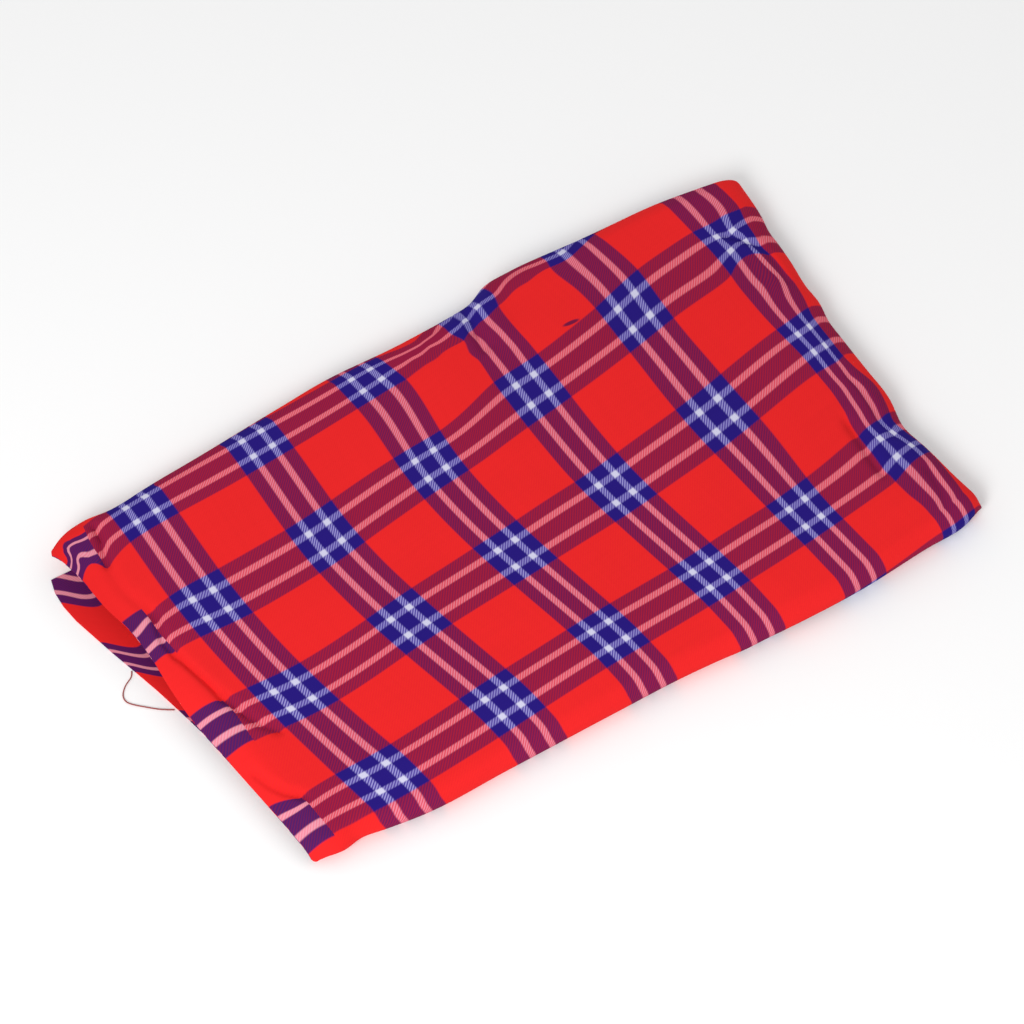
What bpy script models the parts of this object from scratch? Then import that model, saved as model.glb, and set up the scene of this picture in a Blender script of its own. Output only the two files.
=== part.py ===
"""A checked shuka blanket, folded into a flat pack, with one loose thread at its open end.

The cloth lies doubled along its length, with the fold at the right end and the two hemmed
edges at the left. Across its width it goes back and forth in five panels. The bottom panel
turns up at the near edge, in one deep fold, and becomes the top panel, which covers the rest.

Metres, +X along the pack, +Y to its far edge, +Z up, origin on the floor under its middle.
"""

import math
from bisect import bisect_right
from collections import namedtuple

import bpy
from mathutils import Vector

MM = 0.001

# The flat stack, before it is laid out as it lies
PACK_LENGTH = 500 * MM
PACK_WIDTH = 300 * MM
PANEL_COUNT = 5
SHEET = 1.6 * MM  # two plies of the cloth, one on the other
SHEET_PITCH = 2.2 * MM
PANEL_PITCH = 2 * SHEET_PITCH
STACK_HEIGHT = PANEL_COUNT * PANEL_PITCH
REST_LIFT = (SHEET_PITCH - SHEET) / 2

# How far the inner panels stay back from the ends and edges of the pack
LEFT_INSET = 26 * MM
RIGHT_INSET = 18 * MM
INNER_HEM_INSET = 24 * MM
NEAR_FOLD_INSET = 3.5 * MM
NEAR_HEM_INSET = 6 * MM
FAR_FOLD_INSET = 4 * MM
BOTTOM_HEM_REACH = 1.5 * MM

# How the top comes down at the edges
EDGE_HEIGHT = 20 * MM
CLOSED_HEIGHT = 10.2 * MM
LEFT_ROLL = 24 * MM
RIGHT_ROLL = 16 * MM

# Mesh steps in the folds, and more places along a run than the outline's own rows give
TURN_STEPS = 4
DEEP_TURN_STEPS = 8
EXTRA_SHARES = (0.012, 0.20, 0.34, 0.84, 0.93, 0.985, 0.995)

# The loose thread
THREAD_DIAMETER = 0.7 * MM
THREAD_FLOOR_GAP = 0.05 * MM
THREAD_POINT_SPACING = 1.7 * MM

# One run of the sheet between two folds: its level, where it starts and ends, how far it is
# set back from the pack's ends at its start and end (0 to 1), and where its mesh steps lie in it
Run = namedtuple("Run", "level start end inset_start inset_end shares")

# The pack's near and far edges, the far edge of its bottom panel, and its height, at shares of
# its length, in mm
Section = namedtuple("Section", "share near far low_far crown")
SECTIONS = (
    Section(0.00, -99, 153, 150, 21.0),
    Section(0.03, -104, 159, 147, 22.0),
    Section(0.06, -104, 160, 147, 22.5),
    Section(0.09, -108, 157, 148, 23.0),
    Section(0.14, -114, 156, 153, 23.5),
    Section(0.26, -121, 155, 155, 24.5),
    Section(0.42, -130, 152, 152, 24.5),
    Section(0.52, -136, 146, 146, 24.5),
    Section(0.58, -141, 144, 142, 24.0),
    Section(0.61, -144, 144, 142, 24.0),
    Section(0.64, -146, 149, 147, 24.5),
    Section(0.68, -149, 149, 149, 25.0),
    Section(0.78, -155, 141, 141, 24.0),
    Section(0.90, -158, 132, 133, 23.5),
    Section(0.96, -160, 125, 125, 22.5),
    Section(1.00, -156, 119, 119, 22.0),
)

# The open left end at shares of the pack's width, in mm: the bottom panel's edge, how far the
# top's edge lies back from it, and how high that edge lies
LeftEnd = namedtuple("LeftEnd", "share edge setback mouth")
LEFT_END = (
    LeftEnd(0.00, -239, -4, 10.0),
    LeftEnd(0.15, -238, -5, 10.0),
    LeftEnd(0.30, -239, -4, 10.0),
    LeftEnd(0.45, -240, -3, 11.0),
    LeftEnd(0.54, -242, 1, 13.0),
    LeftEnd(0.62, -244, 6, 14.0),
    LeftEnd(0.70, -247, 10, 16.0),
    LeftEnd(0.80, -250, 11, 17.0),
    LeftEnd(0.90, -252, 13, 18.0),
    LeftEnd(0.96, -250, 9, 19.0),
    LeftEnd(1.00, -246, 2, 20.0),
)

# The folded right end at shares of the pack's width, in mm
RightEnd = namedtuple("RightEnd", "share edge")
RIGHT_END = (
    RightEnd(0.00, 203),
    RightEnd(0.08, 203),
    RightEnd(0.18, 204),
    RightEnd(0.25, 204),
    RightEnd(0.33, 212),
    RightEnd(0.42, 216),
    RightEnd(0.51, 220),
    RightEnd(0.57, 223),
    RightEnd(0.62, 228),
    RightEnd(0.67, 230),
    RightEnd(0.75, 236),
    RightEnd(0.80, 239),
    RightEnd(0.84, 241),
    RightEnd(0.88, 245),
    RightEnd(1.00, 253),
)

# Where the loose thread lies on the floor, in mm, from the hem and back under it
THREAD_ROUTE = (
    (-246.9, 67.7),
    (-249.5, 64.6),
    (-255.5, 61.8),
    (-259.8, 58.0),
    (-261.2, 53.9),
    (-259.6, 49.6),
    (-253.8, 42.2),
    (-249.9, 37.6),
    (-246.0, 33.9),
    (-243.1, 31.5),
)


def mix(low, high, share):
    return low + (high - low) * share


def smooth(share):
    share = min(1.0, max(0.0, share))
    return share * share * (3 - 2 * share)


def read(table, column, share):
    """The table's value at a share, half eased between its rows, so that it never overshoots."""
    shares = [row.share for row in table]
    row = min(len(table) - 2, max(0, bisect_right(shares, share) - 1))
    here, after = table[row], table[row + 1]
    part = min(1.0, max(0.0, (share - here.share) / (after.share - here.share)))
    part = (part + smooth(part)) / 2
    return mix(getattr(here, column), getattr(after, column), part) * MM


def top_height(along, across):
    """How high the top of the pack lies over a place of the flat stack."""
    u = along / PACK_LENGTH
    v = across / PACK_WIDTH
    shoulder = 1 - (2 * min(1.0, max(0.0, v)) - 1) ** 4
    height = mix(EDGE_HEIGHT, read(SECTIONS, "crown", u), shoulder)
    from_left = min(1.0, max(0.0, along / LEFT_ROLL))
    height = mix(read(LEFT_END, "mouth", v), height, 1 - (1 - from_left) ** 3)
    from_right = min(1.0, max(0.0, (PACK_LENGTH - along) / RIGHT_ROLL))
    return mix(CLOSED_HEIGHT, height, math.sqrt(1 - (1 - from_right) ** 2))


def upper_share(level):
    """0 in the bottom panel, 1 in the top panel, and even between them."""
    return min(1.0, max(0.0, (level - PANEL_PITCH) / (STACK_HEIGHT - 2 * PANEL_PITCH)))


def settle(level, height):
    """The height of a level of the flat stack once its inner panels are pressed to a height."""
    below = min(level, PANEL_PITCH)
    above = max(0.0, level - STACK_HEIGHT + PANEL_PITCH)
    return below + upper_share(level) * (height - 2 * PANEL_PITCH) + above


def lay(along, across, level):
    """Moves a point of the flat stack to where it lies in the real pack."""
    u = along / PACK_LENGTH
    v = across / PACK_WIDTH
    upper = upper_share(level)
    left = read(LEFT_END, "edge", v) + read(LEFT_END, "setback", v) * upper
    far = mix(read(SECTIONS, "low_far", u), read(SECTIONS, "far", u), upper)
    x = mix(left, read(RIGHT_END, "edge", v), u)
    y = mix(read(SECTIONS, "near", u), far, v)
    z = settle(level, top_height(along, across)) - REST_LIFT
    return Vector((x, y, z))


def eased(steps):
    """Shares that lie closer to each other at both ends of a run."""
    return [(1 - math.cos(math.pi * step / steps)) / 2 for step in range(steps + 1)]


def walk(runs, turns):
    """Follows a folded sheet: points of (place, level, outward in place, outward in level, inset)."""
    points = []
    for index, run in enumerate(runs):
        heading = 1 if run.end > run.start else -1
        for share in run.shares:
            inset = mix(run.inset_start, run.inset_end, smooth(4 * share))
            points.append((mix(run.start, run.end, share), run.level, 0.0, heading, inset))
        if index == len(runs) - 1:
            break
        after = runs[index + 1]
        rise = after.level - run.level
        side = 1 if rise > 0 else -1
        radius = abs(rise) / 2
        for step in range(1, turns[index]):
            angle = math.pi * step / turns[index]
            place = run.end + heading * radius * math.sin(angle)
            level = run.level + rise / 2 - side * radius * math.cos(angle)
            inset = mix(run.inset_end, after.inset_start, step / turns[index])
            outward = (-side * math.sin(angle), heading * math.cos(angle))
            points.append((place, level, outward[0], outward[1], inset))
    return points


def lengthwise_walk():
    """The doubled sheet from its outer hem at the left, round the right fold and back."""
    half = SHEET_PITCH / 2
    fold = PACK_LENGTH - half - SHEET / 2
    inner_hem_share = INNER_HEM_INSET / fold
    shares = sorted([row.share for row in SECTIONS] + [inner_hem_share, *EXTRA_SHARES])
    back = [(1 - share) / (1 - inner_hem_share) for share in reversed(shares) if share >= inner_hem_share]
    outer = Run(half, 0.0, fold, 0, 0, shares)
    inner = Run(-half, fold, INNER_HEM_INSET, 0, 0, back)
    return walk((outer, inner), (TURN_STEPS,))


def crosswise_walk():
    """The five panels: bottom, top, and the three that go back and forth between them."""
    levels = [(index + 0.5) * PANEL_PITCH for index in range(PANEL_COUNT)]
    near = STACK_HEIGHT / 2
    near_inner = near + NEAR_FOLD_INSET
    far = PACK_WIDTH - PANEL_PITCH
    far_inner = far - FAR_FOLD_INSET
    runs = (
        Run(levels[0], far + BOTTOM_HEM_REACH, near, 0, 0, eased(8)),
        Run(levels[4], near, far, 0, 0, [step / 14 for step in range(15)]),
        Run(levels[3], far, near_inner, 0.4, 1, eased(6)),
        Run(levels[2], near_inner, far_inner, 1, 1, eased(5)),
        Run(levels[1], far_inner, near + NEAR_HEM_INSET, 1, 1, eased(5)),
    )
    return walk(runs, (DEEP_TURN_STEPS, TURN_STEPS, TURN_STEPS, TURN_STEPS))


def sheet_point(lengthwise, crosswise, side):
    """A point on one face of the folded sheet; side is +1 on its outer face and -1 inside."""
    along, depth, along_out, depth_out, _ = lengthwise
    across, level, across_out, level_out, inset = crosswise
    along += along_out * side * SHEET / 2
    depth += depth_out * side * SHEET / 2
    left = LEFT_INSET * inset
    right = RIGHT_INSET * inset
    along = left + along * (PACK_LENGTH - left - right) / PACK_LENGTH
    return lay(along, across + across_out * depth, level + level_out * depth)


def folded_sheet_mesh(name):
    """The closed sheet: its outer face, its inner face and the strip of its cut edges."""
    columns = lengthwise_walk()
    rows = crosswise_walk()
    vertices = []
    for side in (1, -1):
        for row in rows:
            vertices += [sheet_point(column, row, side) for column in columns]
    width = len(columns)
    inside = width * len(rows)

    faces = []
    for row in range(len(rows) - 1):
        for column in range(width - 1):
            corner = row * width + column
            quad = (corner, corner + 1, corner + 1 + width, corner + width)
            faces.append(quad)
            faces.append(tuple(index + inside for index in reversed(quad)))

    last_row = width * (len(rows) - 1)
    rim = list(range(width))
    rim += [row * width + width - 1 for row in range(1, len(rows))]
    rim += [last_row + column for column in range(width - 2, -1, -1)]
    rim += [row * width for row in range(len(rows) - 2, 0, -1)]
    for index, here in enumerate(rim):
        after = rim[(index + 1) % len(rim)]
        faces.append((after, here, here + inside, after + inside))

    mesh = bpy.data.meshes.new(name)
    mesh.from_pydata(vertices, [], faces)
    mesh.validate()
    return mesh


def plain_material(name, colour, roughness):
    material = bpy.data.materials.new(name)
    material.use_nodes = True
    shader = material.node_tree.nodes["Principled BSDF"]
    shader.inputs["Base Color"].default_value = (*colour, 1)
    shader.inputs["Roughness"].default_value = roughness
    shader.inputs["Metallic"].default_value = 0.0
    return material


def add_blanket():
    """The whole blanket, one woven piece with its hems."""
    mesh = folded_sheet_mesh("shuka_blanket")
    mesh.shade_smooth()
    mesh.set_sharp_from_angle(angle=math.radians(50))
    mesh.materials.append(plain_material("red_check_cloth", (0.80, 0.03, 0.03), 0.85))
    blanket = bpy.data.objects.new("shuka_blanket", mesh)
    bpy.context.collection.objects.link(blanket)


def curve_through(points, spacing):
    """Evenly spaced points on a smooth Catmull-Rom curve through the route's points."""
    padded = [2 * points[0] - points[1], *points, 2 * points[-1] - points[-2]]
    fine = []
    for index in range(len(points) - 1):
        before, start, end, after = padded[index : index + 4]
        for step in range(20):
            t = step / 20
            bend = 2 * before - 5 * start + 4 * end - after
            twist = 3 * start - before - 3 * end + after
            fine.append((2 * start + (end - before) * t + bend * t**2 + twist * t**3) / 2)
    fine.append(points[-1])

    travelled = [0.0]
    for here, after in zip(fine, fine[1:]):
        travelled.append(travelled[-1] + (after - here).length)
    count = round(travelled[-1] / spacing)
    even = []
    for index in range(count + 1):
        goal = travelled[-1] * index / count
        place = min(len(fine) - 2, bisect_right(travelled, goal) - 1)
        share = (goal - travelled[place]) / (travelled[place + 1] - travelled[place])
        even.append(fine[place].lerp(fine[place + 1], share))
    return even


def add_loose_thread():
    """One pulled thread that lies on the floor beside the open end."""
    height = THREAD_DIAMETER / 2 + THREAD_FLOOR_GAP
    route = [Vector((x * MM, y * MM, height)) for x, y in THREAD_ROUTE]
    points = curve_through(route, THREAD_POINT_SPACING)
    curve = bpy.data.curves.new("loose_thread", "CURVE")
    curve.dimensions = "3D"
    curve.bevel_depth = THREAD_DIAMETER / 2
    curve.bevel_resolution = 2
    curve.use_fill_caps = True
    spline = curve.splines.new("POLY")
    spline.points.add(len(points) - 1)
    for spline_point, point in zip(spline.points, points):
        spline_point.co = (*point, 1)
    curve.materials.append(plain_material("thread_fibre", (0.45, 0.10, 0.10), 0.8))
    thread = bpy.data.objects.new("loose_thread", curve)
    bpy.context.collection.objects.link(thread)


def main():
    for thing in list(bpy.data.objects):
        bpy.data.objects.remove(thing, do_unlink=True)
    add_blanket()
    add_loose_thread()


main()
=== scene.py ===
"""How the folded shuka blanket looks: one thin woven sheet, folded in four along its length and in
five across its width, in its red, blue and white check, with one loose thread on a pale floor.

Lengths are metres; the tables give millimetres. +X runs along the pack and +Y to its far edge.
"""

import math
from collections import namedtuple

import bpy
import numpy as np
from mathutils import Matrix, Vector


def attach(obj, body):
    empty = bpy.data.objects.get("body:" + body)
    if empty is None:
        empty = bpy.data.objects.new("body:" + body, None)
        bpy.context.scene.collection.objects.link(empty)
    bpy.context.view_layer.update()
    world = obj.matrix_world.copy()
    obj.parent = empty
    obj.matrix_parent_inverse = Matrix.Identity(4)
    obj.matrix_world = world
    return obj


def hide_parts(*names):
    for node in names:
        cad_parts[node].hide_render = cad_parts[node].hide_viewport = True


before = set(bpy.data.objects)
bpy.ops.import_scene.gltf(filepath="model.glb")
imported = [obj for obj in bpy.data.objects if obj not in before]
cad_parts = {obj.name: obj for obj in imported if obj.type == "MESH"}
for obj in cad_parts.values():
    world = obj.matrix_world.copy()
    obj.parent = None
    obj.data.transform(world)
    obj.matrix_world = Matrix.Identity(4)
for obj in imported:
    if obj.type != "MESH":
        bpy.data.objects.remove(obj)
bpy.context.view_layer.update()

MM = 0.001

# The cloth and its flat stack
PLY = 0.8 * MM
PLY_PITCH = 1.1 * MM
PLIES = 4
PANELS = 5
PANEL_PITCH = PLIES * PLY_PITCH
STACK_HEIGHT = PANELS * PANEL_PITCH
REST_LIFT = (PLY_PITCH - PLY) / 2
PACK_LENGTH = 500 * MM
PACK_WIDTH = 300 * MM

# How far the inner panels and plies stay back from the ends and edges of the pack
LEFT_INSET = 26 * MM
RIGHT_INSET = 18 * MM
NEAR_FOLD_INSET = 3.5 * MM
NEAR_HEM_INSET = 6 * MM
FAR_FOLD_INSET = 4 * MM
BOTTOM_HEM_REACH = 1.5 * MM
PLY_FOLD_INSET = 26 * MM
PLY_HEM_INSET = 24 * MM
UNDER_PLY_SETBACK = 1.5 * MM
UNDER_PLY_REACH = 25 * MM
INNER_FOLD_SETBACK = 1.5 * MM

# How the hidden plies' edges wave at the left end and the far edge, and how far in that reaches
LEFT_WAVE = 1.5 * MM
FAR_WAVE = 1.6 * MM
EDGE_WAVE_REACH = 60 * MM

# The uneven wave: its two wavelengths, how each shifts with the seed, and the slow one's share
SLOW_WAVE = 113 * MM
QUICK_WAVE = 61 * MM
SLOW_SHIFT = 1.7
QUICK_SHIFT = 2.9
SLOW_SHARE = 0.65

# How the top comes down at the edges
EDGE_HEIGHT = 20 * MM
CLOSED_HEIGHT = 10.2 * MM
LEFT_ROLL = 24 * MM
RIGHT_ROLL = 16 * MM

# How far the top ply lies loose over the ply under it, the least of that in a crease, its slow
# waves and their slant, how much is left at the hem, and how far in from each edge it rises
LOFT = 3.4 * MM
LEAST_LOFT = 0.1 * MM
LOFT_WAVE = 0.4 * MM
LOFT_WAVE_SLANT = 0.6
HEM_LOFT_SHARE = 0.65
NEAR_RISE = 40 * MM
FAR_RISE = 12 * MM
RIGHT_RISE = 25 * MM
HEM_RISE = 16 * MM

# Which part of the stack is lifted: it begins so many plies below the top and comes in over so many
LIFTED_FROM = 1.13
LIFTED_OVER = 0.26

# The top ply's mesh columns from its hem: how many lie in the turned-in hem, and how far from
# the hem's edge they are moved to follow it
HEM_STEPS = 16
HEM_STEPS_REACH = 60 * MM

# The check: its repeat, and its stripes as half widths and places in shares of a repeat, with
# how softly a stripe begins; and the pitch of its yarns
REPEAT = 80 * MM
COLUMN_BAND_HALF = 0.212
ROW_BAND_HALF = 0.222
COLUMN_LINE_PLACE = 0.084
ROW_LINE_PLACE = 0.096
LINE_HALF = 0.025
STRIPE_EDGE = 0.008
YARN_PITCH = 1.0 * MM

# The weave's surface: how softly one set of yarns gives way to the other, the tone of the dyes
# with its slow and yarn-by-yarn changes, and the relief and roughness of the yarns
TWILL_SOFTNESS = 0.5
TONE = 0.80
TONE_DRIFT = 0.07
TONE_PER_YARN = 0.045
DRIFT_SCALE = 9.0
DRIFT_DETAIL = 3.0
YARN_TONE_STEP = 0.37
YARN_TONE_SCALE = 14.0
FUZZ_SCALE = 1400.0
FUZZ_DETAIL = 2.0
TWILL_RELIEF = 0.5
RIB_RELIEF = 0.25
FUZZ_RELIEF = 0.5
RELIEF_DEPTH = 0.12 * MM
RELIEF_STRENGTH = 0.35
ROUGHNESS = 0.78
ROUGHNESS_CHANGE = 0.12
SPECULAR = 0.06

# From which angle an edge of the mesh looks sharp
SHARP_ANGLE = math.radians(60)

# How close to the pack's right, near and far edges the marks are followed; beyond them the
# cloth's own length counts
MARKED_RIGHT = 8 * MM
MARKED_NEAR = 11.5 * MM
MARKED_FAR = 8 * MM

# The painted shade of a small pinched fold of cloth, drawn as a dark patch rather than modelled: its middle
# in repeats along and across, how it leans, and its half length and half width in repeats
PINCH_SHADE_ALONG = 4.58
PINCH_SHADE_ACROSS = 2.255
PINCH_SHADE_LEAN = math.radians(-17)
PINCH_SHADE_HALF_LENGTH = 0.075
PINCH_SHADE_HALF_WIDTH = 0.018

# How much closer the check's repeats lie in the bottom panel, whose cloth is gathered
BOTTOM_CHECK_SCALE = 1.22

# The camera
CAMERA_TURN = -39
CAMERA_LIFT = 55
CAMERA_DISTANCE = 2.049
CAMERA_LENS_MM = 123.05
CAMERA_SENSOR_MM = 36
CAMERA_REACH = 20
CAMERA_AIM = Vector((-9.7, 17.8, 0)) * MM

# The loose thread
THREAD_DIAMETER = 0.7 * MM
THREAD_FLOOR_GAP = 0.05 * MM
THREAD_POINT_SPACING = 1.7 * MM
THREAD_TWIST_SCALE = 900.0
THREAD_TWIST_DETAIL = 2.0
THREAD_RELIEF_DEPTH = 0.1 * MM
THREAD_RELIEF_STRENGTH = 0.5
THREAD_ROUGHNESS = 0.85

# The floor and the light
FLOOR_HALF = 6.0
FLOOR_DROP = 0.2 * MM
FLOOR_COLOUR = (0.97, 0.97, 0.97, 1)
FLOOR_ROUGHNESS = 0.9
ROOM_STRENGTH = 0.71
LAMP_PLACE = (-1.4, -0.8, 1.2)
LAMP_SIZE = 0.7
LAMP_POWER = 22

# One run of the cloth between two folds: its level, where it starts and ends, how far it is
# set back from the pack's ends at its start and end (0 to 1), and its mesh steps
Run = namedtuple("Run", "level start end inset_start inset_end steps")

# The pack's near and far edges, the far edge of its bottom panel, and its height, at shares of
# its length, in mm
Section = namedtuple("Section", "share near far low_far crown")
SECTIONS = (
    Section(0.00, -99, 153, 150, 21.0),
    Section(0.03, -104, 159, 147, 22.0),
    Section(0.06, -104, 160, 147, 22.5),
    Section(0.09, -108, 157, 148, 23.0),
    Section(0.14, -114, 156, 153, 23.5),
    Section(0.26, -121, 155, 155, 24.5),
    Section(0.42, -130, 152, 152, 24.5),
    Section(0.52, -136, 146, 146, 24.5),
    Section(0.58, -141, 144, 142, 24.0),
    Section(0.61, -144, 144, 142, 24.0),
    Section(0.64, -146, 149, 147, 24.5),
    Section(0.68, -149, 149, 149, 25.0),
    Section(0.78, -155, 141, 141, 24.0),
    Section(0.90, -158, 132, 133, 23.5),
    Section(0.96, -160, 125, 125, 22.5),
    Section(1.00, -156, 119, 119, 22.0),
)

# The open left end at shares of the pack's width, in mm: the bottom panel's edge, how far the
# top's edge lies back from it, and how high that edge lies
LeftEnd = namedtuple("LeftEnd", "share edge setback mouth")
LEFT_END = (
    LeftEnd(0.00, -239, -4, 10.0),
    LeftEnd(0.15, -238, -5, 10.0),
    LeftEnd(0.30, -239, -4, 10.0),
    LeftEnd(0.45, -240, -3, 11.0),
    LeftEnd(0.54, -242, 1, 13.0),
    LeftEnd(0.62, -244, 6, 14.0),
    LeftEnd(0.70, -247, 10, 16.0),
    LeftEnd(0.80, -250, 11, 17.0),
    LeftEnd(0.90, -252, 13, 18.0),
    LeftEnd(0.96, -250, 9, 19.0),
    LeftEnd(1.00, -246, 2, 20.0),
)

# The folded right end at shares of the pack's width, in mm
RightEnd = namedtuple("RightEnd", "share edge")
RIGHT_END = (
    RightEnd(0.00, 203),
    RightEnd(0.08, 203),
    RightEnd(0.18, 204),
    RightEnd(0.25, 204),
    RightEnd(0.33, 212),
    RightEnd(0.42, 216),
    RightEnd(0.51, 220),
    RightEnd(0.57, 223),
    RightEnd(0.62, 228),
    RightEnd(0.67, 230),
    RightEnd(0.75, 236),
    RightEnd(0.80, 239),
    RightEnd(0.84, 241),
    RightEnd(0.88, 245),
    RightEnd(1.00, 253),
)

# Where the check lies on the top: a place in mm with the numbers of the repeats along and across
# that meet there. Whole numbers are the middles of the blue bands, 0.10 away are their white
# lines and 0.22 away are their edges
Mark = namedtuple("Mark", "along across x y")
CROSSINGS = (
    Mark(1, 3, -185, 142),
    Mark(1, 2, -193, 63),
    Mark(1, 1, -193, -15),
    Mark(1, 0, -186, -88),
    Mark(2, 3, -105, 137),
    Mark(2, 2, -115, 58),
    Mark(2, 1, -113, -17),
    Mark(2, 0, -105, -92),
    Mark(3, 3, -27, 134),
    Mark(3, 2, -36, 61),
    Mark(3, 1, -37, -19),
    Mark(3, 0, -31, -95),
    Mark(4, 2, 45, 66),
    Mark(4, 1, 37, -20),
    Mark(4, 0, 40, -100),
    Mark(5, 2, 129, 73),
    Mark(5, 1, 117, -17),
    Mark(5, 0, 111, -102),
)

# The same at the folded end, where the last crosswise band sways and is tucked in
FOLDED_END_MARKS = (
    Mark(5.79, 2.22, 197.5, 98),
    Mark(5.92, 2.71, 209.5, 128),
    Mark(6.08, 2.62, 222.5, 122),
    Mark(6.21, 2.50, 234.5, 115),
    Mark(6.21, 2.26, 234, 98),
    Mark(6.40, 2.22, 244.5, 96.5),
    Mark(6.08, 2.22, 221, 96.5),
    Mark(6.40, 2.10, 243.5, 86.5),
    Mark(6.08, 2.10, 217.5, 84.5),
    Mark(5.92, 2.10, 207, 86.5),
    Mark(6.38, 1.90, 237, 70.5),
    Mark(6.21, 1.90, 225, 68),
    Mark(6.06, 1.90, 219, 74.5),
    Mark(5.92, 1.90, 206.5, 72.5),
    Mark(6.28, 1.78, 229.5, 57),
    Mark(6.08, 1.78, 217.5, 61.5),
    Mark(6.21, 1.56, 223, 40),
    Mark(6.08, 1.55, 216.5, 39),
    Mark(5.92, 1.50, 201, 37),
    Mark(5.92, 1.61, 202, 47.5),
    Mark(5.92, 1.71, 204, 57.5),
    Mark(5.79, 1.78, 193.5, 58),
    Mark(6.21, 1.37, 219.5, 23),
    Mark(6.08, 1.38, 210, 24.5),
    Mark(6.33, 1.22, 224.5, 12),
    Mark(6.33, 1.10, 218.5, 2.5),
    Mark(6.08, 1.10, 205, -0.5),
    Mark(5.92, 1.10, 195.5, -1),
    Mark(6.33, 0.90, 215, -16),
    Mark(6.08, 0.90, 202.5, -17.5),
    Mark(5.92, 0.90, 194, -17.5),
    Mark(6.30, 0.78, 211.5, -27.5),
    Mark(6.08, 0.76, 200, -33),
    Mark(6.08, 0.65, 198.5, -42.5),
    Mark(5.92, 0.60, 190, -46.5),
    Mark(6.21, 0.55, 209, -50.5),
    Mark(6.21, 0.46, 209.5, -57.5),
    Mark(6.08, 0.44, 196.5, -60),
    Mark(5.92, 0.35, 185, -67.5),
    Mark(6.21, 0.22, 201.5, -76.5),
    Mark(6.08, 0.22, 191, -78),
    Mark(6.25, 0.10, 200, -86),
    Mark(6.08, 0.10, 191.5, -89.5),
    Mark(5.92, 0.10, 181.5, -89),
    Mark(6.08, -0.10, 193.5, -103.5),
    Mark(5.92, -0.10, 180, -105.5),
    Mark(5.79, -0.22, 167, -118),
    Mark(5.79, -0.41, 167, -130.5),
    Mark(5.79, -0.54, 168.5, -140.5),
    Mark(5.92, -0.31, 179.5, -121.5),
    Mark(5.92, -0.40, 179, -129),
    Mark(5.92, -0.57, 178, -143),
    Mark(5.92, -0.68, 175.5, -151),
    Mark(6.08, -0.31, 193, -119.5),
    Mark(6.08, -0.45, 190, -132),
    Mark(6.08, -0.63, 186.5, -147),
    Mark(6.08, -0.71, 183.5, -153),
    Mark(6.21, -0.33, 200, -120.5),
    Mark(6.21, -0.51, 197, -136),
    Mark(6.21, -0.72, 192, -153.5),
    Mark(5.85, -0.78, 171, -157.5),
)

# The same along the far edge, where the cloth is pinched together at the fourth crosswise band
PUCKER_MARKS = (
    Mark(3.23, 3.10, -9, 137.5),
    Mark(3.38, 3.10, 2.5, 135.5),
    Mark(3.54, 3.10, 14, 134.5),
    Mark(3.67, 3.10, 24, 135.5),
    Mark(3.79, 3.10, 34, 138),
    Mark(3.87, 3.10, 40.5, 138),
    Mark(3.21, 2.90, -9.5, 129),
    Mark(3.39, 2.90, 3.5, 129),
    Mark(3.57, 2.90, 16.5, 129.5),
    Mark(3.74, 2.90, 29, 129),
    Mark(3.81, 2.90, 35.5, 130),
    Mark(3.92, 2.90, 48, 133),
    Mark(3.21, 2.78, -8.5, 119),
    Mark(3.37, 2.78, 2.5, 120),
    Mark(3.55, 2.78, 15.5, 120),
    Mark(3.72, 2.78, 29, 121),
    Mark(3.79, 2.78, 36.5, 120.5),
    Mark(3.21, 2.22, -16.5, 76.5),
    Mark(3.79, 2.57, 33, 110),
    Mark(3.79, 2.47, 34, 103.5),
    Mark(3.79, 2.22, 30.5, 84.5),
    Mark(3.92, 2.74, 44.5, 122),
    Mark(3.92, 2.63, 45, 115.5),
    Mark(3.92, 2.42, 42.5, 100),
    Mark(4.08, 2.90, 58, 135),
    Mark(4.08, 2.80, 56.5, 126),
    Mark(4.08, 2.60, 56, 114),
    Mark(4.08, 2.40, 56, 99),
    Mark(4.21, 2.78, 68.5, 127.5),
    Mark(4.21, 2.70, 67, 120.5),
    Mark(4.21, 2.45, 65.5, 103),
    Mark(4.21, 2.22, 64, 84.5),
    Mark(4.22, 3.10, 72.5, 145.5),
    Mark(4.23, 2.90, 73.5, 135.5),
    Mark(4.34, 2.90, 82, 139),
    Mark(4.48, 2.90, 91.5, 141),
    Mark(4.61, 2.90, 100, 140.5),
    Mark(4.71, 2.90, 107.5, 138.5),
    Mark(4.35, 2.78, 81, 130.5),
    Mark(4.57, 2.78, 94.5, 131),
    Mark(4.75, 2.78, 108.5, 132),
    Mark(4.79, 2.45, 113.5, 109.5),
    Mark(4.79, 2.22, 113, 89.5),
    Mark(4.92, 2.90, 126, 136),
    Mark(5.00, 2.78, 134.5, 131.5),
    Mark(5.21, 2.78, 150.5, 135),
    Mark(5.21, 2.22, 152, 96.5),
)

# The same beside the hem at the open end
OPEN_END_MARKS = (
    Mark(0.64, 3.10, -213.5, 146.5),
    Mark(0.66, 2.90, -212.5, 134.5),
    Mark(0.56, 2.90, -220.5, 131),
    Mark(0.63, 2.78, -216, 124),
    Mark(0.63, 2.10, -221.5, 73),
    Mark(0.83, 2.10, -205.5, 73.5),
    Mark(0.63, 1.90, -222, 60),
    Mark(0.64, 1.10, -221, -1.5),
    Mark(0.60, 0.90, -223.5, -15.5),
    Mark(0.51, 0.10, -226.5, -77),
    Mark(0.62, 0.10, -218.5, -77),
    Mark(0.53, -0.10, -224, -89),
)
TOP_MARKS = CROSSINGS + FOLDED_END_MARKS + PUCKER_MARKS + OPEN_END_MARKS

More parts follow.
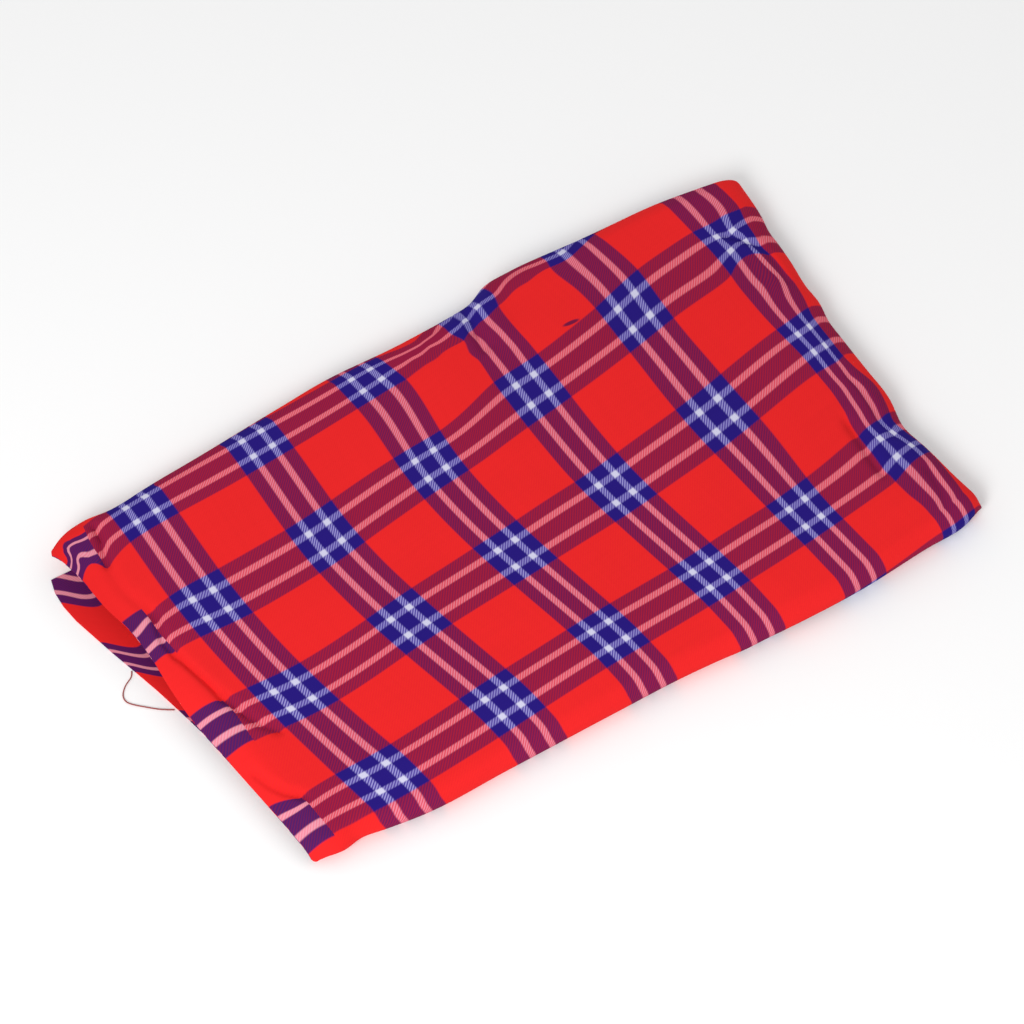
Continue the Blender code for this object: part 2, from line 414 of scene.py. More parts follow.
# The same on the turned-in hem, whose stripes don't quite meet those of the cloth beside it
HEM_MARKS = (
    Mark(0.38, 3.22, -234, 149),
    Mark(0.51, 3.22, -223, 149),
    Mark(0.64, 3.22, -213, 148.5),
    Mark(0.32, 3.22, -237.5, 141),
    Mark(0.38, 3.10, -233.5, 146.5),
    Mark(0.47, 3.10, -225.5, 146),
    Mark(0.59, 3.10, -216.5, 145.5),
    Mark(0.35, 3.10, -236, 139),
    Mark(0.37, 2.90, -235.5, 132.5),
    Mark(0.38, 2.90, -233.5, 137),
    Mark(0.46, 2.90, -227.5, 135),
    Mark(0.55, 2.90, -221, 134),
    Mark(0.37, 2.78, -235.5, 127.5),
    Mark(0.46, 2.78, -228.5, 129.5),
    Mark(0.54, 2.78, -223.5, 123),
    Mark(0.41, 2.22, -236.5, 87.5),
    Mark(0.58, 2.22, -224, 86.5),
    Mark(0.45, 2.10, -235, 76.5),
    Mark(0.60, 2.10, -223, 79),
    Mark(0.48, 1.90, -233.5, 63.5),
    Mark(0.60, 1.90, -223.5, 63),
    Mark(0.48, 1.78, -233.5, 55),
    Mark(0.59, 1.78, -225, 52.5),
    Mark(0.36, 1.22, -242, 15),
    Mark(0.60, 1.22, -224.5, 9),
    Mark(0.38, 1.10, -241, 6.5),
    Mark(0.63, 1.10, -221.5, 1),
    Mark(0.36, 0.90, -241.5, -8),
    Mark(0.56, 0.90, -226.5, -13.5),
    Mark(0.35, 0.78, -241.5, -19),
    Mark(0.55, 0.78, -226.5, -23.5),
    Mark(0.30, 0.22, -242, -59),
    Mark(0.48, 0.22, -228.5, -68.5),
    Mark(0.30, 0.10, -241, -69),
    Mark(0.52, 0.10, -226, -74),
    Mark(0.30, -0.10, -240, -85),
    Mark(0.51, -0.10, -225.5, -89),
    Mark(0.30, -0.22, -241, -95.5),
    Mark(0.52, -0.22, -225, -99.5),
)

# How wide the turned-in hem lies at shares of the pack's width, in mm
HemWidth = namedtuple("HemWidth", "share width")
HEM_WIDTHS = (
    HemWidth(0.00, 17),
    HemWidth(0.10, 17),
    HemWidth(0.30, 17.5),
    HemWidth(0.42, 21),
    HemWidth(0.54, 17),
    HemWidth(0.62, 13.5),
    HemWidth(0.75, 14),
    HemWidth(0.86, 16),
    HemWidth(0.93, 19),
    HemWidth(1.00, 28),
)

# Creases pressed or raised in the top: points along each in mm, its half width and rise
Crease = namedtuple("Crease", "points width rise")
CREASES = (
    Crease(((-213, 150), (-215, 140), (-218, 132), (-222, 124)), 2.2, -3.3),
    Crease(((-222, 124), (-226, 104), (-221, 79)), 4.0, -1.0),
    Crease(((-221, 79), (-224, 71), (-227, 62), (-227, 50)), 2.5, -3.3),
    Crease(((-227, 50), (-226, 38), (-225, 25), (-224, 10)), 2.0, -3.3),
    Crease(((-224, 10), (-222, 2), (-220, -10), (-217, -19), (-212, -28)), 2.2, -3.3),
    Crease(((-238, -38), (-236, -51), (-233, -60), (-227, -70)), 2.2, -3.0),
    Crease(((54, 144), (50, 131), (46, 122), (43, 108)), 3.0, -3.3),
    Crease(((64, 147), (63, 134), (58, 112)), 8.0, 1.8),
    Crease(((213, 84), (220, 74), (225, 62), (223, 48), (220, 34)), 2.5, -3.3),
    Crease(((199, -42), (197, -60), (192, -78), (191, -92)), 2.5, -2.0),
    Crease(((175, -68), (172, -82), (168, -97), (166, -108)), 3.5, -3.0),
    Crease(((190, -122), (186, -138), (177, -156)), 3.5, -3.0),
)

# Where the loose thread lies on the floor, in mm, from the hem and back under it
THREAD_ROUTE = (
    (-246.9, 67.7),
    (-249.5, 64.6),
    (-255.5, 61.8),
    (-259.8, 58.0),
    (-261.2, 53.9),
    (-259.6, 49.6),
    (-253.8, 42.2),
    (-249.9, 37.6),
    (-246.0, 33.9),
    (-243.1, 31.5),
)


def colour(code):
    """A linear colour from the usual six-digit code of a screen colour."""
    parts = [int(code[start : start + 2], 16) / 255 for start in (0, 2, 4)]
    return tuple(part / 12.92 if part <= 0.04045 else ((part + 0.055) / 1.055) ** 2.4 for part in parts)


# Colours of the woven face where a lengthwise or a crosswise yarn lies on top, by the two yarns'
# dye: plain red, blue and white, first the yarn on top and then the one under it
Weave = namedtuple(
    "Weave",
    "red_red red_blue red_white blue_red blue_blue blue_white white_red white_blue white_white",
)
FACE_CROSSWISE = Weave(
    colour("F2262A"), colour("AA1D3A"), colour("E64C5E"),
    colour("701A54"), colour("27187E"), colour("5644A0"),
    colour("EC8AA0"), colour("A09AD8"), colour("DAD8F2"),
)
FACE_LENGTHWISE = Weave(
    colour("F42A28"), colour("971B44"), colour("E25668"),
    colour("881B4A"), colour("28187E"), colour("5042A2"),
    colour("EE8494"), colour("928CCE"), colour("DAD8F2"),
)
BACK_CROSSWISE = Weave(
    colour("F2262A"), colour("6A1A52"), colour("EA8296"),
    colour("501B62"), colour("27187E"), colour("5644A0"),
    colour("E88EA4"), colour("A09AD8"), colour("DAD8F2"),
)
BACK_LENGTHWISE = Weave(
    colour("F02826"), colour("60194E"), colour("E88A9E"),
    colour("4E1B64"), colour("28187E"), colour("5042A2"),
    colour("EA9AAC"), colour("928CCE"), colour("DAD8F2"),
)
# The colour of the painted shade of a small pinched fold
PAINTED_PINCH_SHADE = colour("7A1A44")
THREAD_COLOUR = colour("B4504C")
THREAD_DARK = colour("7E2A2C")


def mix(low, high, share):
    return low + (high - low) * share


def smooth(share):
    share = np.clip(share, 0, 1)
    return share * share * (3 - 2 * share)


def read(table, column, share):
    """A column of a table at shares, on a smooth line through its rows, in metres."""
    shares = np.array([row.share for row in table])
    values = np.array([getattr(row, column) for row in table]) * MM
    slopes = np.gradient(values, shares)
    share = np.clip(share, 0, 1)
    row = np.clip(np.searchsorted(shares, share, side="right") - 1, 0, len(table) - 2)
    step = shares[row + 1] - shares[row]
    part = (share - shares[row]) / step
    start = values[row] + part**2 * (3 - 2 * part) * (values[row + 1] - values[row])
    return start + step * part * (1 - part) * ((1 - part) * slopes[row] - part * slopes[row + 1])


def ripple(place, seed):
    """A slow uneven wave between about -1 and 1, different for each seed."""
    slow = np.sin(2 * math.pi * place / SLOW_WAVE + SLOW_SHIFT * seed)
    quick = np.sin(2 * math.pi * place / QUICK_WAVE + QUICK_SHIFT * seed)
    return mix(quick, slow, SLOW_SHARE)


def upper_share(level):
    """0 in the bottom panel, 1 in the top panel, and even between them."""
    return np.clip((level - PANEL_PITCH) / (STACK_HEIGHT - 2 * PANEL_PITCH), 0, 1)


def plan(along, across, level):
    """Where a place of the flat stack lies on the floor."""
    u = along / PACK_LENGTH
    v = across / PACK_WIDTH
    upper = upper_share(level)
    left = read(LEFT_END, "edge", v) + read(LEFT_END, "setback", v) * upper
    far = mix(read(SECTIONS, "low_far", u), read(SECTIONS, "far", u), upper)
    x = mix(left, read(RIGHT_END, "edge", v), u)
    y = mix(read(SECTIONS, "near", u), far, v)
    return x, y


def crease_rise(x, y):
    """How much the creases raise or lower the top ply at places on the floor."""
    total = np.zeros_like(x)
    for crease in CREASES:
        points = np.array(crease.points) * MM
        nearest = np.full_like(x, np.inf)
        for start, end in zip(points, points[1:]):
            run = end - start
            share = ((x - start[0]) * run[0] + (y - start[1]) * run[1]) / (run @ run)
            share = np.clip(share, 0, 1)
            gap = np.hypot(x - start[0] - share * run[0], y - start[1] - share * run[1])
            nearest = np.minimum(nearest, gap)
        total += crease.rise * MM * np.exp(-((nearest / (crease.width * MM)) ** 2))
    return total


def loft(along, across):
    """How far the top ply lies over the ply under it, with its creases."""
    free = smooth(across / NEAR_RISE) * smooth((PACK_WIDTH - across) / FAR_RISE)
    free = free * smooth((PACK_LENGTH - along) / RIGHT_RISE)
    free = free * mix(HEM_LOFT_SHARE, 1, smooth(along / HEM_RISE))
    slow = LOFT_WAVE * ripple(along + LOFT_WAVE_SLANT * across, 1) * ripple(across, 4)
    height = LOFT + slow + crease_rise(*plan(along, across, np.full_like(across, STACK_HEIGHT)))
    return free * np.maximum(height, LEAST_LOFT)


def top_height(along, across):
    """How high the top of the pack lies over a place of the flat stack, without the loft."""
    v = np.clip(across / PACK_WIDTH, 0, 1)
    crown = read(SECTIONS, "crown", along / PACK_LENGTH) - LOFT
    height = mix(EDGE_HEIGHT, crown, 1 - (2 * v - 1) ** 4)
    from_left = np.clip(along / LEFT_ROLL, 0, 1)
    height = mix(read(LEFT_END, "mouth", v), height, 1 - (1 - from_left) ** 3)
    from_right = np.clip((PACK_LENGTH - along) / RIGHT_ROLL, 0, 1)
    return mix(CLOSED_HEIGHT, height, np.sqrt(1 - (1 - from_right) ** 2))


def settle(level, height):
    """The height of a level of the flat stack once its inner panels are pressed to a height."""
    inner = STACK_HEIGHT - 2 * PANEL_PITCH
    below = np.minimum(level, PANEL_PITCH)
    above = np.maximum(level - PANEL_PITCH - inner, 0)
    return below + upper_share(level) * (height - 2 * PANEL_PITCH) + above


def lay(along, across, level):
    """Moves points of the flat stack to where they lie in the real pack."""
    along, across, level = np.broadcast_arrays(along, across, level)
    x, y = plan(along, across, level)
    lifted = (level - STACK_HEIGHT) / PLY_PITCH + LIFTED_FROM
    lifted = np.clip(lifted / LIFTED_OVER, 0, 1)
    z = settle(level, top_height(along, across)) + lifted * loft(along, across)
    return np.stack((x, y, z - REST_LIFT), axis=-1)


# A folded sheet as seen from its edge, point by point: place and level, the direction its outer
# face looks, how far it is set back from the pack's ends, and its run (in a fold, between two runs)
Walk = namedtuple("Walk", "place level place_out level_out inset run")


def walk(runs, turns):
    """Follows a folded sheet from its edge: its runs, and between them its folds in so many turns.

    A run's points lie closer together toward its folds, and its inset changes in its first third.
    """
    points = []
    for index, run in enumerate(runs):
        heading = 1 if run.end > run.start else -1
        for step in range(run.steps + 1):
            share = step / run.steps
            share = (share + (1 - math.cos(math.pi * share)) / 2) / 2
            inset = mix(run.inset_start, run.inset_end, float(smooth(3 * share)))
            points.append((mix(run.start, run.end, share), run.level, 0.0, heading, inset, index))
        if index == len(runs) - 1:
            break
        after = runs[index + 1]
        rise = after.level - run.level
        side = 1 if rise > 0 else -1
        for step in range(1, turns[index]):
            angle = math.pi * step / turns[index]
            place = run.end + heading * abs(rise) / 2 * math.sin(angle)
            level = run.level + rise / 2 * (1 - math.cos(angle))
            inset = mix(run.inset_end, after.inset_start, step / turns[index])
            half = index + step / turns[index]
            points.append((place, level, -side * math.sin(angle), heading * math.cos(angle), inset, half))
    return Walk(*np.array(points).T)


def lengthwise_walk():
    """The cloth's four plies: from the outer hem at the left to and fro, ending at the inner hem."""
    levels = [(1.5 - ply) * PLY_PITCH for ply in range(PLIES)]
    fold = PACK_LENGTH - (PLY_PITCH + PLY) / 2
    inner_fold = fold - INNER_FOLD_SETBACK
    runs = (
        Run(levels[0], 0.0, fold, 0, 0, 192),
        Run(levels[1], fold, PLY_FOLD_INSET, 0, 0, 32),
        Run(levels[2], PLY_FOLD_INSET, inner_fold, 0, 0, 16),
        Run(levels[3], inner_fold, PLY_HEM_INSET, 0, 0, 16),
    )
    return walk(runs, (6, 4, 4))


def crosswise_walk():
    """The five panels: bottom, top, and the three that go back and forth between them."""
    levels = [(index + 0.5) * PANEL_PITCH for index in range(PANELS)]
    near = STACK_HEIGHT / 2
    near_inner = near + NEAR_FOLD_INSET
    far = PACK_WIDTH - PANEL_PITCH
    far_inner = far - FAR_FOLD_INSET
    runs = (
        Run(levels[0], far + BOTTOM_HEM_REACH, near, 0, 0, 16),
        Run(levels[4], near, far, 0, 0, 96),
        Run(levels[3], far, near_inner, 0.4, 1, 12),
        Run(levels[2], near_inner, far_inner, 1, 1, 8),
        Run(levels[1], far_inner, near + NEAR_HEM_INSET, 1, 1, 8),
    )
    return walk(runs, (18, 8, 6, 6))


def follow_hem(columns, rows):
    """The mesh columns' places, moved in the top ply so that one follows the hem's inner edge."""
    place = np.broadcast_to(columns.place, (len(rows.place), len(columns.place)))
    width = read(HEM_WIDTHS, "width", rows.place / PACK_WIDTH)[:, None]
    edge = columns.place[HEM_STEPS]
    beyond = width + (place - edge) * (HEM_STEPS_REACH - width) / (HEM_STEPS_REACH - edge)
    moved = np.where(place < edge, place * width / edge, beyond)
    return np.where((columns.run == 0) & (place < HEM_STEPS_REACH), moved, place)


def sheet_points(columns, rows, side):
    """The grid of points on one face of the folded cloth; side is +1 outside, -1 inside, 0 between."""
    along = follow_hem(columns, rows) + (columns.place_out * side * PLY / 2)[None, :]
    depth = (columns.level + columns.level_out * side * PLY / 2)[None, :]
    inset = rows.inset[:, None]
    left = LEFT_INSET * inset
    right = RIGHT_INSET * inset
    along = left + along * (PACK_LENGTH - left - right) / PACK_LENGTH
    across = rows.place[:, None] + rows.place_out[:, None] * depth
    level = rows.level[:, None] + rows.level_out[:, None] * depth

    hidden = np.maximum(np.clip(columns.run, 0, 1)[None, :], inset)
    at_left = hidden * smooth(1 - along / EDGE_WAVE_REACH) * LEFT_WAVE
    at_far = np.clip(np.abs(rows.run - 1), 0, 1)[:, None]
    at_far = at_far * smooth(1 - (PACK_WIDTH - across) / EDGE_WAVE_REACH) * FAR_WAVE
    shift_along = at_left * ripple(across, columns.run[None, :] + 3 * np.round(rows.run)[:, None])
    shift_across = at_far * ripple(along, 2 * np.round(rows.run)[:, None])
    under = np.clip(columns.run, 0, 1)[None, :] * UNDER_PLY_SETBACK
    shift_across += under * smooth(1 - across / UNDER_PLY_REACH)
    shift_across -= under * smooth(1 - (PACK_WIDTH - across) / UNDER_PLY_REACH)
    return lay(along + shift_along, across + shift_across, level)


def check_map(table):
    no_gap = 1e-9
    marks = np.array([(mark.x, mark.y) for mark in table]) * MM
    numbers = np.array([(mark.along, mark.across) for mark in table], float)

    def spread(places):
        gap = np.linalg.norm(places[:, None] - marks[None], axis=-1)
        return gap**2 * np.log(gap + no_gap)

    def flat(places):
        return np.column_stack((np.ones(len(places)), places))

    size = len(marks)
    system = np.zeros((size + 3, size + 3))
    system[:size, :size] = spread(marks)
    system[:size, size:] = flat(marks)
    system[size:, :size] = flat(marks).T
    weights = np.linalg.solve(system, np.vstack((numbers, np.zeros((3, 2)))))

    def numbers_at(x, y):
        places = np.column_stack((x.ravel(), y.ravel()))
        found = spread(places) @ weights[:size] + flat(places) @ weights[size:]
        return found.reshape(*x.shape, 2)

    return numbers_at


def cloth_coordinates(columns, rows, table):
    """How far along and across the check each grid point lies, in metres, unbroken round the folds."""
    middle = sheet_points(columns, rows, 0)
    steps_along = np.linalg.norm(np.diff(middle, axis=1), axis=-1)
    steps_across = np.linalg.norm(np.diff(middle, axis=0), axis=-1)
    travel_along = np.pad(np.cumsum(steps_along, axis=1), ((0, 0), (1, 0)))
    travel_across = np.pad(np.cumsum(steps_across, axis=0), ((1, 0), (0, 0)))

    outer = np.flatnonzero((columns.run == 0) & (columns.place < PACK_LENGTH - MARKED_RIGHT))
    marked = (rows.place > MARKED_NEAR) & (rows.place < PACK_WIDTH - MARKED_FAR)
    top = np.flatnonzero((rows.run == 1) & marked)
    column = np.clip(np.arange(len(columns.place)), outer[0], outer[-1])[None, :]
    row = np.clip(np.arange(len(rows.place)), top[0], top[-1])[:, None]
    here = middle[row, column]
    numbers = check_map(table)(here[..., 0], here[..., 1]) * REPEAT
    rows_here = np.arange(len(rows.place))[:, None]
    columns_here = np.arange(len(columns.place))[None, :]
    beyond_along = travel_along - travel_along[rows_here, column]
    beyond_across = travel_across - travel_across[row, columns_here]
    fold_start = np.flatnonzero(rows.run == 0)[-1]
    in_bottom = np.minimum(travel_across - travel_across[fold_start], 0)
    beyond_across = beyond_across + (BOTTOM_CHECK_SCALE - 1) * in_bottom
    places = np.stack((numbers[..., 0] + beyond_along, numbers[..., 1] + beyond_across), axis=-1)
    return places.reshape(-1, 2)


FACE, BACK = 0, 1


def cloth_mesh(name):
    """The closed thin sheet with its check coordinates and which weave shows on each face."""
    columns = lengthwise_walk()
    rows = crosswise_walk()
    wide, tall = len(columns.place), len(rows.place)
    inside = wide * tall
    outer_points = sheet_points(columns, rows, 1).reshape(-1, 3)
    inner_points = sheet_points(columns, rows, -1).reshape(-1, 3)

    grid = np.arange(inside).reshape(tall, wide)
    corners = (grid[:-1, :-1], grid[:-1, 1:], grid[1:, 1:], grid[1:, :-1])
    outer_faces = np.stack(corners, axis=-1).reshape(-1, 4)
    inner_faces = outer_faces[:, ::-1] + inside
    rim = np.concatenate((grid[0], grid[1:, -1], grid[-1, -2::-1], grid[-2:0:-1, 0]))
    after = np.roll(rim, -1)
    rim_faces = np.stack((after, rim, rim + inside, after + inside), axis=-1)
    faces = np.concatenate((outer_faces, inner_faces, rim_faces))

    hem_columns = np.arange(wide - 1) < HEM_STEPS
    in_hem = np.broadcast_to(hem_columns, (tall - 1, wide - 1)).ravel()
    outer_kind = np.where(in_hem, BACK, FACE)
    inner_kind = np.full(len(inner_faces) + len(rim_faces), BACK)
    kinds = np.concatenate((outer_kind, inner_kind))

    mesh = bpy.data.meshes.new(name)
    mesh.from_pydata(np.concatenate((outer_points, inner_points)), [], faces.tolist())
    cloth_places = np.tile(cloth_coordinates(columns, rows, TOP_MARKS), (2, 1))[faces]
    hem_places = cloth_coordinates(columns, rows, HEM_MARKS)[outer_faces[in_hem]]
    cloth_places[: len(outer_faces)][in_hem] = hem_places
    layer = mesh.uv_layers.new(name="check")
    layer.uv.foreach_set("vector", cloth_places.astype(np.float32).ravel())
    mesh.polygons.foreach_set("material_index", kinds.astype(np.int32))
    mesh.update()
    mesh.shade_smooth()
    mesh.set_sharp_from_angle(angle=SHARP_ANGLE)
    return mesh


class Wire:
    """A shader value: maths on it adds Math nodes."""

    def __init__(self, tree, socket):
        self.tree = tree
        self.socket = socket

    def _join(self, operation, *values):
        return add(self.tree, "ShaderNodeMath", {"operation": operation}, *values)

    def __add__(self, other):
        return self._join("ADD", self, other)

    def __sub__(self, other):
        return self._join("SUBTRACT", self, other)

    def __mul__(self, other):
        return self._join("MULTIPLY", self, other)

    def __truediv__(self, other):
        return self._join("DIVIDE", self, other)

    def __radd__(self, other):
        return self + other

    def __rmul__(self, other):
        return self * other

    def __rsub__(self, other):
        return self._join("SUBTRACT", other, self)

    def rounded(self):
        return self._join("ROUND", self)

    def floor(self):
        return self._join("FLOOR", self)

    def size(self):
        return self._join("ABSOLUTE", self)

    def sine(self):
        return self._join("SINE", self)


def add(tree, kind, settings, *values, output=0, **named):
    """Adds one node: its settings first, then the values or wires of its sockets in order or by name."""
    node = tree.nodes.new(kind)
    for key, value in settings.items():
        setattr(node, key, value)
    for key, value in [*enumerate(values), *named.items()]:
        socket = node.inputs[key if isinstance(key, int) else key.replace("_", " ")]
        if isinstance(value, Wire):
            tree.links.new(value.socket, socket)
        else:
            socket.default_value = value
    return Wire(tree, node.outputs[output])


# The sockets of a Mix node that mixes two colours
MIX_SHARE, MIX_LOW, MIX_HIGH, MIX_RESULT = 0, 6, 7, 2


def blend(tree, share, low, high):
    """Mixes two colours by a share."""
    node = tree.nodes.new("ShaderNodeMix")
    node.data_type = "RGBA"
    for number, value in ((MIX_SHARE, share), (MIX_LOW, low), (MIX_HIGH, high)):
        if isinstance(value, Wire):
            tree.links.new(value.socket, node.inputs[number])
        else:
            node.inputs[number].default_value = value if number == MIX_SHARE else (*value, 1)
    return Wire(tree, node.outputs[MIX_RESULT])


def noise(tree, place, scale, detail):
    """Uneven values between 0 and 1."""
    settings = {"noise_dimensions": "3D"}
    return add(tree, "ShaderNodeTexNoise", settings, place, Scale=scale, Detail=detail)


def step_up(tree, value, low, high):
    """0 below low, 1 above high and a soft rise between."""
    settings = {"interpolation_type": "SMOOTHSTEP"}
    return add(tree, "ShaderNodeMapRange", settings, value, low, high, 0.0, 1.0)


def stripes(tree, repeats, band_half, line_place):
    """Masks of the blue band and of its two white lines, for a place counted in repeats."""
    offset = (repeats - repeats.rounded()).size()
    band = 1 - step_up(tree, offset, band_half - STRIPE_EDGE, band_half + STRIPE_EDGE)
    from_line = (offset - line_place).size()
    line = 1 - step_up(tree, from_line, LINE_HALF - STRIPE_EDGE, LINE_HALF + STRIPE_EDGE)
    return band, line


def woven_colour(tree, weave, top, under):
    """The colour where one yarn lies on top of another, from both yarns' band and line masks."""

    def over(red, blue, white):
        return blend(tree, under[1], blend(tree, under[0], red, blue), white)

    over_red = over(weave.red_red, weave.red_blue, weave.red_white)
    over_blue = over(weave.blue_red, weave.blue_blue, weave.blue_white)
    over_white = over(weave.white_red, weave.white_blue, weave.white_white)
    return blend(tree, top[1], blend(tree, top[0], over_red, over_blue), over_white)


def painted_pinch_shade(tree, along, across):
    """1 inside the small patch of painted shade of a pinched fold and 0 round it, for a place counted in
    repeats.
    """
    along = along - PINCH_SHADE_ALONG
    across = across - PINCH_SHADE_ACROSS
    length_share = (along * math.cos(PINCH_SHADE_LEAN) + across * math.sin(PINCH_SHADE_LEAN)) / PINCH_SHADE_HALF_LENGTH
    width_share = (across * math.cos(PINCH_SHADE_LEAN) - along * math.sin(PINCH_SHADE_LEAN)) / PINCH_SHADE_HALF_WIDTH
    outward = length_share * length_share + width_share * width_share
    return 1 - step_up(tree, outward, 0.3, 1.2)


def cloth_material(name, crosswise_weave, lengthwise_weave, lengthwise_share):
    """Twill in the check: each yarn has its own dye, and the two sets lie on top in turn."""
    material = bpy.data.materials.new(name)
    material.use_nodes = True
    tree = material.node_tree
    shader = tree.nodes["Principled BSDF"]
    place = add(tree, "ShaderNodeUVMap", {"uv_map": "check"})
    parts = add(tree, "ShaderNodeSeparateXYZ", {}, place).socket.node
    along, across = Wire(tree, parts.outputs[0]), Wire(tree, parts.outputs[1])

    crosswise = stripes(tree, along / REPEAT, COLUMN_BAND_HALF, COLUMN_LINE_PLACE)
    lengthwise = stripes(tree, across / REPEAT, ROW_BAND_HALF, ROW_LINE_PLACE)
    on_crosswise = woven_colour(tree, crosswise_weave, crosswise, lengthwise)
    on_lengthwise = woven_colour(tree, lengthwise_weave, lengthwise, crosswise)

    end_count = along / YARN_PITCH
    pick_count = across / YARN_PITCH
    twill = ((end_count - pick_count) * math.pi).sine()
    turn = 1 - 2 * lengthwise_share
    lengthwise_up = step_up(tree, twill, turn - TWILL_SOFTNESS, turn + TWILL_SOFTNESS)
    woven = blend(tree, lengthwise_up, on_crosswise, on_lengthwise)
    # Paints the dark shade of a small pinched fold over the weave
    woven = blend(tree, painted_pinch_shade(tree, along / REPEAT, across / REPEAT), woven, PAINTED_PINCH_SHADE)

    drift = noise(tree, place, DRIFT_SCALE, DRIFT_DETAIL)
    end_tone = yarn_tone(tree, along, across, YARN_PITCH)
    pick_tone = yarn_tone(tree, across, along, YARN_PITCH)
    tone = TONE + TONE_DRIFT * drift + TONE_PER_YARN * end_tone + TONE_PER_YARN * pick_tone
    toned = add(tree, "ShaderNodeVectorMath", {"operation": "SCALE"}, woven, Scale=tone)
    tree.links.new(toned.socket, shader.inputs["Base Color"])

    ribs = (end_count * 2 * math.pi).sine() + (pick_count * 2 * math.pi).sine()
    fuzz = noise(tree, place, FUZZ_SCALE, FUZZ_DETAIL)
    height = twill * TWILL_RELIEF + ribs * RIB_RELIEF + FUZZ_RELIEF * fuzz
    bump = add(tree, "ShaderNodeBump", {}, Strength=RELIEF_STRENGTH, Distance=RELIEF_DEPTH, Height=height)
    tree.links.new(bump.socket, shader.inputs["Normal"])

    rough = ROUGHNESS + ROUGHNESS_CHANGE * fuzz
    tree.links.new(rough.socket, shader.inputs["Roughness"])
    shader.inputs["Specular IOR Level"].default_value = SPECULAR
    return material


def yarn_tone(tree, across_yarn, along_yarn, pitch):
    """A slow change of tone along each single yarn, different from yarn to yarn."""
    number = (across_yarn / pitch).floor()
    spot = add(tree, "ShaderNodeCombineXYZ", {}, number * YARN_TONE_STEP, along_yarn * YARN_TONE_SCALE, 0.0)
    return noise(tree, spot, 1.0, 1.0)


def thread_material():
    """Spun yarn: two tones that wind round the thread."""
    material = bpy.data.materials.new("thread_fibre")
    material.use_nodes = True
    tree = material.node_tree
    shader = tree.nodes["Principled BSDF"]
    place = add(tree, "ShaderNodeTexCoord", {}, output="Object")
    wave = noise(tree, place, THREAD_TWIST_SCALE, THREAD_TWIST_DETAIL)
    twist = blend(tree, wave, THREAD_DARK, THREAD_COLOUR)
    tree.links.new(twist.socket, shader.inputs["Base Color"])
    relief = {"Strength": THREAD_RELIEF_STRENGTH, "Distance": THREAD_RELIEF_DEPTH}
    bump = add(tree, "ShaderNodeBump", {}, Height=wave, **relief)
    tree.links.new(bump.socket, shader.inputs["Normal"])
    shader.inputs["Roughness"].default_value = THREAD_ROUGHNESS
    return material


def link(thing):
    bpy.context.scene.collection.objects.link(thing)
    return thing


def add_camera():
    """The camera at the photograph's angle, level with the horizon."""
    turn, lift = math.radians(CAMERA_TURN), math.radians(CAMERA_LIFT)
    back = Vector((math.sin(turn) * math.cos(lift), -math.cos(turn) * math.cos(lift), math.sin(lift)))
    data = bpy.data.cameras.new("camera")
    data.sensor_width = CAMERA_SENSOR_MM
    data.lens = CAMERA_LENS_MM
    data.clip_end = CAMERA_REACH
    camera = link(bpy.data.objects.new("camera", data))
    camera.location = CAMERA_AIM + back * CAMERA_DISTANCE
    camera.rotation_euler = back.to_track_quat("Z", "Y").to_euler()
    bpy.context.scene.camera = camera


def curve_through(points, spacing):
    """Evenly spaced points on a smooth Catmull-Rom curve through the route's points."""
    padded = [2 * points[0] - points[1], *points, 2 * points[-1] - points[-2]]
    steps = 20
    fine = []
    for index in range(len(points) - 1):
        before, start, end, after = padded[index : index + 4]
        for step in range(steps):
            t = step / steps
            bend = 2 * before - 5 * start + 4 * end - after
            twist = 3 * start - before - 3 * end + after
            fine.append((2 * start + (end - before) * t + bend * t**2 + twist * t**3) / 2)
    fine.append(points[-1])
    gaps = [(after - here).length for here, after in zip(fine, fine[1:])]
    travelled = np.concatenate(([0.0], np.cumsum(gaps)))
    goals = np.linspace(0, travelled[-1], round(travelled[-1] / spacing) + 1)
    axes = [np.interp(goals, travelled, [point[axis] for point in fine]) for axis in range(3)]
    return [Vector(point) for point in zip(*axes)], float(travelled[-1])


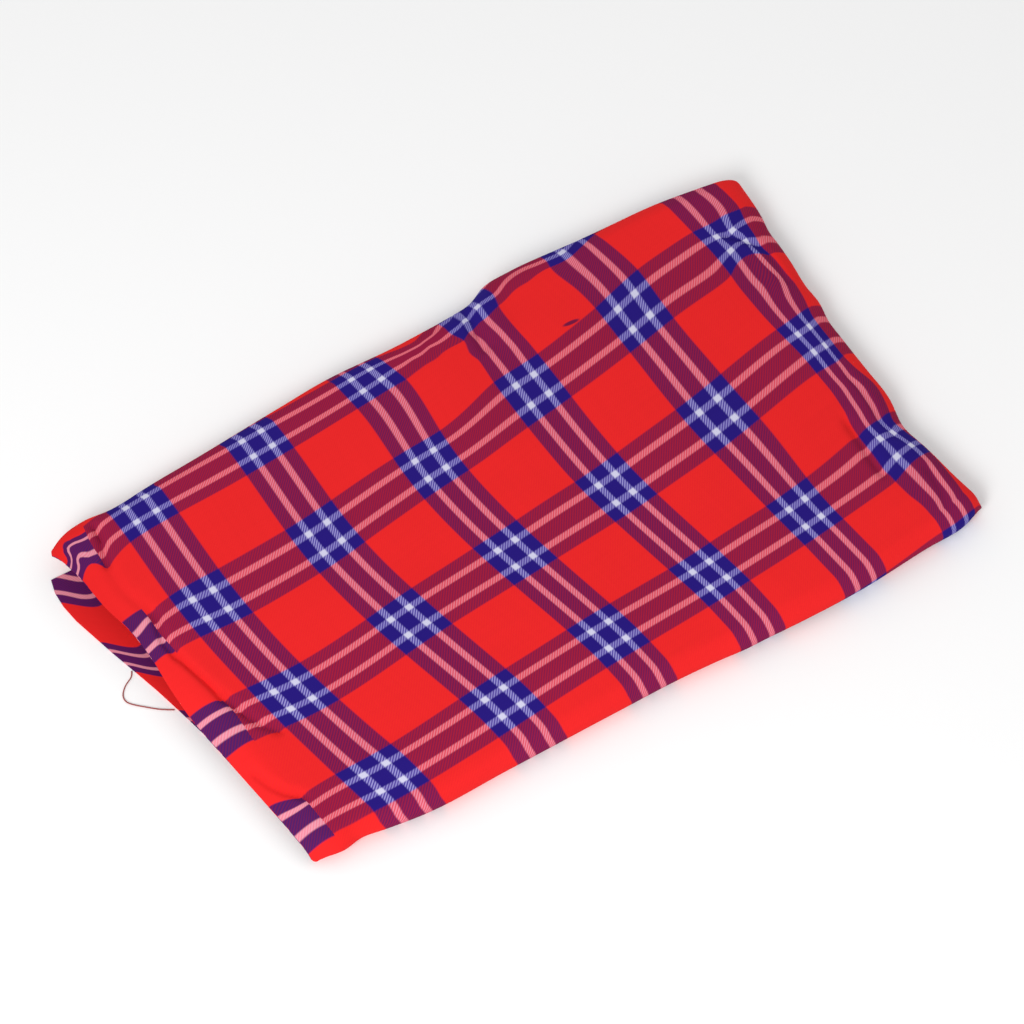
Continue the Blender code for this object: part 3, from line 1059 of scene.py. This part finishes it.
def add_thread():
    """The pulled thread that lies on the floor beside the open end."""
    height = THREAD_DIAMETER / 2 + THREAD_FLOOR_GAP
    route = [Vector((x * MM, y * MM, height)) for x, y in THREAD_ROUTE]
    points, length = curve_through(route, THREAD_POINT_SPACING)
    data = bpy.data.curves.new("pulled_thread", "CURVE")
    data.dimensions = "3D"
    data.bevel_depth = THREAD_DIAMETER / 2
    data.bevel_resolution = 3
    data.use_fill_caps = True
    spline = data.splines.new("POLY")
    spline.points.add(len(points) - 1)
    for spline_point, point in zip(spline.points, points):
        spline_point.co = (*point, 1)
    data.materials.append(thread_material())
    thread = link(bpy.data.objects.new("pulled_thread", data))
    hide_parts("loose_thread")
    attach(thread, "root")


def add_cloth():
    """The blanket itself, with its woven face and the other side of the weave."""
    mesh = cloth_mesh("folded_cloth")
    mesh.materials.append(cloth_material("check_face", FACE_CROSSWISE, FACE_LENGTHWISE, 0.5))
    mesh.materials.append(cloth_material("check_back", BACK_CROSSWISE, BACK_LENGTHWISE, 0.6))
    cloth = link(bpy.data.objects.new("folded_cloth", mesh))
    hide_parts("shuka_blanket")
    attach(cloth, "root")


def add_floor():
    """A wide pale floor, just under the cloth."""
    mesh = bpy.data.meshes.new("pale_floor")
    half = FLOOR_HALF
    corners = ((-half, -half, 0), (half, -half, 0), (half, half, 0), (-half, half, 0))
    mesh.from_pydata(corners, [], [(0, 1, 2, 3)])
    material = bpy.data.materials.new("pale_floor")
    material.use_nodes = True
    shader = material.node_tree.nodes["Principled BSDF"]
    shader.inputs["Base Color"].default_value = FLOOR_COLOUR
    shader.inputs["Roughness"].default_value = FLOOR_ROUGHNESS
    mesh.materials.append(material)
    floor = link(bpy.data.objects.new("pale_floor", mesh))
    floor.location.z = -FLOOR_DROP


def add_lights():
    """Even white surroundings with one broad lamp in front on the left."""
    world = bpy.data.worlds.new("pale_room")
    world.use_nodes = True
    world.node_tree.nodes["Background"].inputs["Color"].default_value = (1, 1, 1, 1)
    world.node_tree.nodes["Background"].inputs["Strength"].default_value = ROOM_STRENGTH
    bpy.context.scene.world = world
    data = bpy.data.lights.new("left_front", "AREA")
    data.shape = "SQUARE"
    data.size = LAMP_SIZE
    data.energy = LAMP_POWER
    lamp = link(bpy.data.objects.new("left_front", data))
    lamp.location = LAMP_PLACE
    lamp.rotation_euler = Vector(LAMP_PLACE).to_track_quat("Z", "Y").to_euler()
    bpy.context.scene.view_settings.view_transform = "Standard"


add_camera()
add_thread()
add_cloth()
add_floor()
add_lights()
